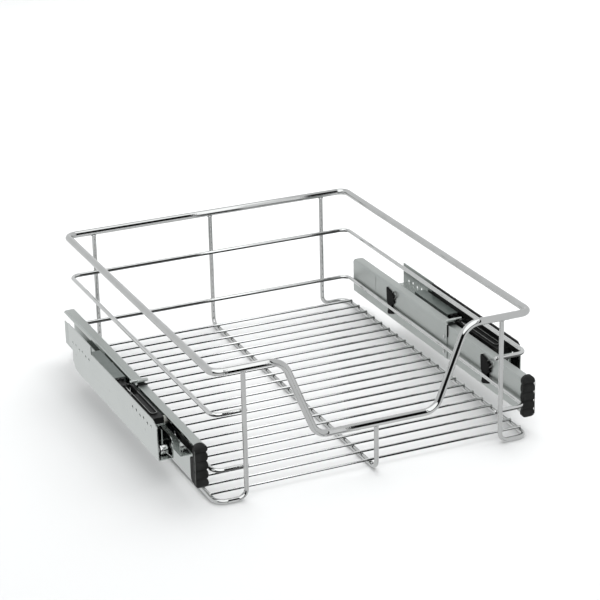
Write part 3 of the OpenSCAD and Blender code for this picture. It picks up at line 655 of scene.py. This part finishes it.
web_x, rear_channel_y = 197.3, -41.05
lip_x_from, lip_x_to, lip_y, lip_z, lip_d = 196.2, 218.2, rear_channel_y + 0.6, 72, 4.5
panel_depth = 0.3
panel_outline = [(157, 44.5), (157, 65), (160, 67), (181, 64), (203, 52.5), (206, 48), (206, 44.5)]
for side_name, side in both_sides:
    for part in ("channel_rear", "channel_front"):
        node = f"{side_name}_{part}"
        channel = eased(node, node + "_sheet", ease=0.2, finish=channel_zinc)
        fixed_to(channel, "basket", "zinc_sheet", node)
    lip = drawn_wire(
        f"{side_name}_rolled_lip",
        [([(side * lip_x_from, lip_y, lip_z), (side * lip_x_to, lip_y, lip_z)], [0, 0])],
        lip_d, channel_zinc,
    )
    fixed_to(lip, "basket", "zinc_sheet")
    # A stiffening panel pressed into the web near its rear end
    panel = stamped(
        f"{side_name}_web_panel", panel_outline, side * web_x, side * (web_x - panel_depth),
        ease=0.12, finish=channel_zinc,
    )
    fixed_to(panel, "basket", "zinc_sheet")

# ---- Channel rivets ----
# Two steel rivets with low domed heads join the two lengths of each channel.
# They are plated with zinc, like the other small steel parts of the runners.
rivet_steel = zinc_plate(
    "rivet_steel", light=(0.60, 0.61, 0.60, 1), dark=(0.5, 0.51, 0.5, 1),
    shine_low=0.2, shine_high=0.32,
)
for side_name, _ in both_sides:
    node = f"{side_name}_channel_rivets"
    rivets = eased(node, node + "_set", ease=0.25, finish=rivet_steel)
    fixed_to(rivets, "basket", "bright_steel", node)


# ---- Wire clips ----
# Moulded black clips snap over the lower ring and hook through windows in the channel's web.
# Each has a thin curl at its upper front corner, light grey as a painted highlight.
# A thin black strip at the step between the two lengths of channel is a painted shadow.
def moulded_black(name, shade, shine_low, shine_high, sheen=0.14):
    """Black polypropylene from an etched mould: fine texture, a little rubbed in places."""
    finish = new_finish(name, {"IOR": 1.49, "Specular IOR Level": sheen})
    place = finish.node("ShaderNodeTexCoord", {}, {}, "Object")
    rub = finish.patches(place, 90.0, 4.0)
    etch = finish.patches(place, 1500.0)
    colour = shaded(finish, rub, (
        (0.35, (shade, shade * 1.04, shade, 1)),
        (0.8, (shade * 2.1, shade * 2.15, shade * 2.1, 1)),
    ))
    finish.feed(finish.shader["Base Color"], colour)
    finish.feed(finish.shader["Roughness"], shine_low + (shine_high - shine_low) * rub)
    roughened(finish, 0.12, 0.00008, etch)
    return finish.material


black_plastic = moulded_black("black_plastic", shade=0.0045, shine_low=0.3, shine_high=0.46)
matt_plastic = moulded_black("matt_black_plastic", shade=0.003, shine_low=0.66, shine_high=0.8)
# Light grey plastic for painted highlights: the clip curls and the tops of the housing's ribs
highlight_plastic = moulded_black("highlight_plastic", shade=0.1, shine_low=0.34, shine_high=0.5)
# Each clip's middle along Y, and how far out its plate reaches into the web's window
clip_places = (("front", -139.05, 198.6), ("rear", 113.05, 197.6))
clip_face_x = 195.4
# Points of a clip: distance behind its middle, and height above the wire
clip_outline = [
    (4.5, -2), (4.5, -4.6), (6.4, -11), (3, -12.2), (-10.8, -7.6), (-1, -3.6), (-6.5, 3),
    (-13.6, 9.2), (-10.2, 10.6), (-14, 13), (-10.6, 15.4), (-12.6, 18.6), (-8.4, 18), (-7.2, 21.4),
    (-2, 20.8), (2, 22.2), (6, 22), (9, 23.6), (9.4, 20), (8.2, 5), (5.6, 2),
]
curl_x, curl_d = 196.2, 1.1
curl_path = [(-7, 20.6), (-12, 24.2), (-19.2, 23.4), (-18.6, 18.4), (-12.8, 14.4)]
curl_bends = [0, 3, 2.4, 2.4, 0]
# A thin black strip where the two lengths of channel meet is a painted shadow of the gap
gap_shadow_web_x, gap_shadow_top_x, gap_shadow_y, gap_shadow_d = 197.8, 210.4, rear_channel_y - 0.8, 1.7
gap_shadow_bottom, gap_shadow_top, gap_shadow_bend = 51, 67.4, 1.6
for side_name, side in both_sides:
    for place, clip_y, clip_back in clip_places:
        plate = stamped(
            f"{side_name}_{place}_clip", [(clip_y + y, lower_ring_z + z) for y, z in clip_outline],
            side * clip_face_x, side * clip_back, ease=0.3, finish=matt_plastic,
        )
        fixed_to(plate, "basket", "black_plastic")
        # The curl's light grey is a painted highlight
        curl = drawn_wire(
            f"{side_name}_{place}_clip_curl",
            [([(side * curl_x, clip_y + y, lower_ring_z + z) for y, z in curl_path], curl_bends)],
            curl_d, highlight_plastic, sides=10, steps=6,
        )
        fixed_to(curl, "basket", "black_plastic")
    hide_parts(f"{side_name}_wire_clips")
    # Painted shadow: a black strip over the step between the two lengths of channel
    gap_shadow_strip = drawn_wire(
        f"{side_name}_channel_gap_shadow",
        [(
            [
                (side * gap_shadow_web_x, gap_shadow_y, gap_shadow_bottom), (side * gap_shadow_web_x, gap_shadow_y, gap_shadow_top),
                (side * gap_shadow_top_x, gap_shadow_y, gap_shadow_top),
            ],
            [0, gap_shadow_bend, 0],
        )],
        gap_shadow_d, black_plastic, sides=12, steps=6,
    )
    fixed_to(gap_shadow_strip, "basket", "black_plastic")

# ---- End caps ----
# A black moulded cap plugs the front of each channel. Five ribs run across its face,
# and a skirt covers the channel's outer side. A light strip along its outer front corner
# is a painted highlight.
cap_low, cap_high, cap_front, cap_back = 16.1, 69.6, -230.05, -222.8
cap_inner, cap_outer = 197.3, 212.9
cap_rows, cap_ribs, rib_depth, rib_arc = 90, 5, 4.2, 0.92
inner_notch, outer_notch = 1.9, 0.2
cap_corner, cap_corner_steps = 1.1, 5
cap_end_r, cap_end_lean, cap_end_trim = 6.5, 0.35, 0.05
skirt_x_from, skirt_x_to = 210.75, 212.85
skirt_outline = [
    (-224, 21), (-218, 21.6), (-215.2, 24), (-214.05, 27), (-214.05, 49),
    (-215, 51), (-217, 51.9), (-224, 51.9),
]
cap_highlight_y, cap_highlight_low, cap_highlight_high, cap_highlight_d = -229.3, 21, 63, 0.8
cap_plastic = moulded_black("cap_plastic", shade=0.011, shine_low=0.5, shine_high=0.64, sheen=0.1)
# Lighter plastic for the painted highlight on the cap's outer front corner
cap_highlight_plastic = moulded_black("cap_highlight_plastic", shade=0.075, shine_low=0.5, shine_high=0.6)


def drawn_in(distance, radius):
    """How far a rounded end draws its side in, at a distance from the end."""
    return radius - math.sqrt(radius**2 - (radius - min(distance, radius)) ** 2)


def cap_row(side, z):
    """The points round the cap at one height."""
    turn = 2 * ((z - cap_low) * cap_ribs / (cap_high - cap_low) % 1) - 1
    valley = 1 - math.sqrt(1 - rib_arc * turn * turn)
    inset = drawn_in(min(z - cap_low, cap_high - z), cap_end_r)
    front = cap_front + rib_depth * valley + cap_end_lean * inset
    low_x = cap_inner + inset + inner_notch * valley
    high_x = cap_outer - inset - outer_notch * valley
    arc = [math.pi / 2 * k / cap_corner_steps for k in range(cap_corner_steps + 1)]
    corner = min(cap_corner, (high_x - low_x) / 2.2)
    outer_corner, inner_corner = (
        [(x + reach * (1 - math.cos(a)), front + corner * (1 - math.sin(a))) for a in arc]
        for x, reach in ((high_x, -corner), (low_x, corner))
    )
    row = [(high_x, cap_back), *outer_corner, *reversed(inner_corner), (low_x, cap_back)]
    return [(side * x * mm, y * mm, z * mm) for x, y in row]


for side_name, side in both_sides:
    shape = bmesh.new()
    heights = [
        (cap_low + cap_high) / 2 - (cap_high - cap_low) / 2 * math.cos(math.pi * i / cap_rows)
        for i in range(cap_rows + 1)
    ]
    heights[0] += cap_end_trim
    heights[-1] -= cap_end_trim
    rows = [[shape.verts.new(p) for p in cap_row(side, z)] for z in heights]
    shape.faces.new(rows[0])
    shape.faces.new(list(reversed(rows[-1])))
    for lower, upper in zip(rows, rows[1:]):
        for k in range(len(lower)):
            onward = (k + 1) % len(lower)
            shape.faces.new((lower[k], upper[k], upper[onward], lower[onward]))
    bmesh.ops.recalc_face_normals(shape, faces=shape.faces)
    cap_face = smooth_piece(f"{side_name}_cap_face", shape, cap_plastic)
    fixed_to(cap_face, "basket", "black_plastic", f"{side_name}_end_cap")
    skirt = stamped(
        f"{side_name}_cap_skirt", skirt_outline, side * skirt_x_from, side * skirt_x_to,
        ease=0.5, finish=cap_plastic,
    )
    fixed_to(skirt, "basket", "black_plastic")
    # Painted highlight: a light strip along the cap's outer front corner
    cap_highlight_strip = drawn_wire(
        f"{side_name}_cap_painted_highlight",
        [([(side * skirt_x_to, cap_highlight_y, z) for z in (cap_highlight_low, cap_highlight_high)], [0, 0])],
        cap_highlight_d, cap_highlight_plastic, sides=10,
    )
    fixed_to(cap_highlight_strip, "basket", "black_plastic")

# ---- Intermediate members ----
# Thicker zinc-plated steel: a bead runs inside the drawer channel, a web passes through
# its slot and a leg hangs in the cabinet member. Steel pins carry its rollers.
member_zinc = zinc_plate(
    "member_zinc", light=(0.52, 0.545, 0.53, 1), dark=(0.43, 0.455, 0.44, 1),
    shine_low=0.1, shine_high=0.22,
)
for side_name, _ in both_sides:
    node = f"{side_name}_intermediate_rail"
    member = eased(node, node + "_sheet", ease=0.15, finish=member_zinc, segments=1)
    fixed_to(member, f"{side_name}_intermediate", "zinc_sheet", node)
    node = f"{side_name}_roller_pins"
    pins = eased(node, node + "_set", ease=0.2, finish=rivet_steel)
    fixed_to(pins, f"{side_name}_intermediate", "bright_steel", node)


# ---- Rollers ----
# Nylon rollers turn on the intermediate member's pins. The front roller of the cabinet
# member is turned steel, polished.
def turned(name, profile, middle, finish, sides=40):
    """A part turned about X. The profile is pairs of place along X and radius, in mm."""
    points, faces = [], []
    for along, radius in profile:
        points += [
            (
                (middle[0] + along) * mm,
                (middle[1] + radius * math.cos(a)) * mm,
                (middle[2] + radius * math.sin(a)) * mm,
            )
            for a in (math.tau * k / sides for k in range(sides))
        ]
    for i in range(len(profile)):
        faces += ring_faces(i * sides, (i + 1) % len(profile) * sides, sides)
    shape = bmesh.new()
    corners = [shape.verts.new(p) for p in points]
    for face in faces:
        shape.faces.new([corners[k] for k in face])
    bmesh.ops.recalc_face_normals(shape, faces=shape.faces)
    return smooth_piece(name, shape, finish)


def roller_profile(width, radius, bore, chamfer, crown, hollow):
    """A roller's section: chamfered edges, a crowned tread and a shallow recess in each face."""
    half = width / 2
    wall, outer_slant, inner_slant = 0.7, 0.3, 0.1
    outer, inner = radius - chamfer - wall, bore + wall
    outer_foot, inner_foot = outer - outer_slant, inner + inner_slant
    tread = [
        (half - chamfer, radius - crown / 2), (half / 3, radius),
        (-half / 3, radius), (-half + chamfer, radius - crown / 2),
    ]
    return [
        (-half, radius - chamfer), (-half, outer), (-half + hollow, outer_foot),
        (-half + hollow, inner_foot), (-half, inner), (-half, bore),
        (half, bore), (half, inner), (half - hollow, inner_foot),
        (half - hollow, outer_foot), (half, outer), (half, radius - chamfer), *tread,
    ]


def natural_nylon():
    """Uncoloured nylon, slightly cloudy."""
    finish = new_finish("natural_nylon", {"IOR": 1.53})
    cloud = finish.patches(finish.node("ShaderNodeTexCoord", {}, {}, "Object"), 260.0, 3.0)
    colour = shaded(finish, cloud, (
        (0.3, (0.70, 0.69, 0.63, 1)), (0.75, (0.82, 0.815, 0.76, 1)),
    ))
    finish.feed(finish.shader["Base Color"], colour)
    finish.feed(finish.shader["Roughness"], 0.34 + 0.14 * cloud)
    return finish.material


nylon = natural_nylon()
roller_chrome = chrome_plate("polished_roller", haze_low=0.06, haze_high=0.16, ripple=0.04)
roller_bore, roller_chamfer, roller_crown, roller_hollow = 2.05, 0.5, 0.12, 0.5
# Each roller's middle, width, radius, finish and slot
rollers = (
    ("front_slot_roller", (208.6, -126.05, 58.15), 7.2, 4.95, nylon, "nylon"),
    ("rear_slot_roller", (208.6, 43.95, 58.15), 7.2, 4.95, nylon, "nylon"),
    ("rear_roller", (225.6, 125.95, 34.7), 5.4, 6.2, nylon, "nylon"),
    ("front_roller", (221.1, -151.05, 34.5), 9, 6.0, roller_chrome, "chrome_roller"),
)
for side_name, side in both_sides:
    for roller_name, (x, y, z), width, radius, finish, slot in rollers:
        node = f"{side_name}_{roller_name}"
        profile = roller_profile(
            width, radius, roller_bore, roller_chamfer, roller_crown, roller_hollow
        )
        roller = turned(node + "_turned", profile, (side * x, y, z), finish)
        fixed_to(roller, node + "_body", slot, node)

# ---- Cabinet members ----
# Zinc-plated sheet folded into a U: the mounting plate goes against the cabinet side and has
# two staggered rows of screw holes. An angle over it keeps the intermediate member down.
# The rivets and the front roller's axle are plated steel.
plate_zinc = zinc_plate(
    "plate_zinc", light=(0.585, 0.61, 0.595, 1), dark=(0.53, 0.555, 0.54, 1),
    shine_low=0.16, shine_high=0.28,
)
for side_name, _ in both_sides:
    for part, ease, finish, slot in (
        ("mounting_plate", 0.15, plate_zinc, "zinc_sheet"),
        ("guide_rail", 0.15, member_zinc, "zinc_sheet"),
        ("rail_rivets", 0.25, rivet_steel, "bright_steel"),
        ("front_axle", 0.12, rivet_steel, "bright_steel"),
    ):
        node = f"{side_name}_{part}"
        piece = eased(node, node + "_dressed", ease, finish, segments=1)
        fixed_to(piece, "cabinet_rails", slot, node)

# The member's front edge is turned over into a small bead, and a bent wire spring
# holds the front roller's axle
edge_d, edge_bends, axle_spring_d, axle_spring_bends = 1, [0, 8, 1.2, 0], 0.9, [0, 3, 0]
edge_path = [(213.9, -112, 51.5), (213.9, -163.5, 51.5), (213.9, -163.5, 27.5), (231.1, -163.5, 27.5)]
axle_spring_path = [(222.6, -157.6, 36), (219.6, -158.4, 33), (215.2, -162.6, 28.6)]
for side_name, side in both_sides:
    turned_edge = drawn_wire(
        f"{side_name}_member_edge",
        [([(side * x, y, z) for x, y, z in edge_path], edge_bends)],
        edge_d, rivet_steel, sides=12, steps=8,
    )
    fixed_to(turned_edge, "cabinet_rails", "bright_steel")
    axle_spring = drawn_wire(
        f"{side_name}_axle_spring",
        [([(side * x, y, z) for x, y, z in axle_spring_path], axle_spring_bends)],
        axle_spring_d, rivet_steel, sides=10, steps=6,
    )
    fixed_to(axle_spring, "cabinet_rails", "bright_steel")


# ---- Soft-close units ----
# A black moulded housing holds the damper. A sliding catch with its rod moves in the housing's
# lane, pulled back by a coil spring under a dark sheet cover.
def dark_cover():
    """Dark satin paint on sheet steel, with a fine mist in it."""
    finish = new_finish("dark_cover", {"Metallic": 0.0, "IOR": 1.5})
    mist = finish.patches(finish.node("ShaderNodeTexCoord", {}, {}, "Object"), 240.0, 4.0)
    colour = shaded(finish, mist, (
        (0.3, (0.058, 0.07, 0.065, 1)), (0.75, (0.085, 0.098, 0.092, 1)),
    ))
    finish.feed(finish.shader["Base Color"], colour)
    finish.feed(finish.shader["Roughness"], 0.3 + 0.16 * mist)
    return finish.material


coil_middle_x, coil_z, coil_start, coil_end, coil_inset = 221.2, 64.1, -11.7, 39.9, 0.4
coil_turns, coil_turn_steps, coil_radius, coil_wire_r, coil_sides = 34, 14, 1.85, 0.35, 8


def coiled(name, x, finish):
    """A close-wound spring along Y, at a place along X in mm."""
    coil_steps = coil_turns * coil_turn_steps
    path = [
        (
            x + coil_radius * math.cos(math.tau * i / coil_turn_steps),
            coil_start + coil_inset + (coil_end - coil_start - 2 * coil_inset) * i / coil_steps,
            coil_z + coil_radius * math.sin(math.tau * i / coil_turn_steps),
        )
        for i in range(coil_steps + 1)
    ]
    points, faces = [], []
    for i, spot in enumerate(path):
        before = Vector(path[max(i - 1, 0)])
        after = Vector(path[min(i + 1, coil_steps)])
        along = (after - before).normalized()
        outward = Vector((spot[0] - x, 0, spot[2] - coil_z)).normalized()
        across = along.cross(outward).normalized()
        points += [
            p * mm for p in round_section(Vector(spot), along, across, coil_wire_r, coil_sides)
        ]
        if i:
            faces += ring_faces((i - 1) * coil_sides, i * coil_sides, coil_sides)
    last = coil_steps * coil_sides
    faces += [list(reversed(range(coil_sides))), [last + k for k in range(coil_sides)]]
    mesh = bpy.data.meshes.new(name)
    mesh.from_pydata(points, [], faces)
    mesh.polygons.foreach_set("use_smooth", [len(f) == 4 for f in faces])
    mesh.materials.append(finish)
    return shown(name, mesh)


rib_inner_x, rib_outer_x, rib_front, rib_rear = 216.8, 224.6, -127.9, -61
rib_z, rib_bend, rib_highlight_d = 69.3, 3.8, 0.8
satin_dark = dark_cover()
damper_steel = zinc_plate(
    "damper_steel", light=(0.62, 0.62, 0.61, 1), dark=(0.52, 0.52, 0.51, 1),
    shine_low=0.1, shine_high=0.22,
)
for side_name, side in both_sides:
    for part, body, ease, finish, slot in (
        ("damper_housing", "cabinet_rails", 0.35, black_plastic, "black_plastic"),
        ("damper_cylinder", "cabinet_rails", 0.15, damper_steel, "bright_steel"),
        ("damper_cover", "cabinet_rails", 0.2, satin_dark, "dark_steel"),
        ("damper_catch", f"{side_name}_catch", 0.3, black_plastic, "black_plastic"),
        ("damper_rod", f"{side_name}_catch", 0.15, damper_steel, "bright_steel"),
    ):
        node = f"{side_name}_{part}"
        fixed_to(eased(node, node + "_dressed", ease, finish), body, slot, node)

    # The top of the housing's rib is painted light as a highlight
    rib_top = drawn_wire(
        f"{side_name}_rib_painted_highlight",
        [(
            [
                (side * rib_inner_x, rib_rear, rib_z), (side * rib_inner_x, rib_front, rib_z),
                (side * rib_outer_x, rib_front, rib_z), (side * rib_outer_x, rib_rear, rib_z),
            ],
            [0, rib_bend, rib_bend, 0],
        )],
        rib_highlight_d, highlight_plastic, sides=10, steps=8,
    )
    fixed_to(rib_top, "cabinet_rails", "black_plastic")

    # The spring stays hooked on the post at its rear end, and its front end goes with the catch. Here
    # its coil is drawn once, in place, and fixed to no body.
    coil_x = side * coil_middle_x
    coil = coiled(f"{side_name}_spring_coil", coil_x, damper_steel)
    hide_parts(f"{side_name}_catch_spring")
    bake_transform(coil)
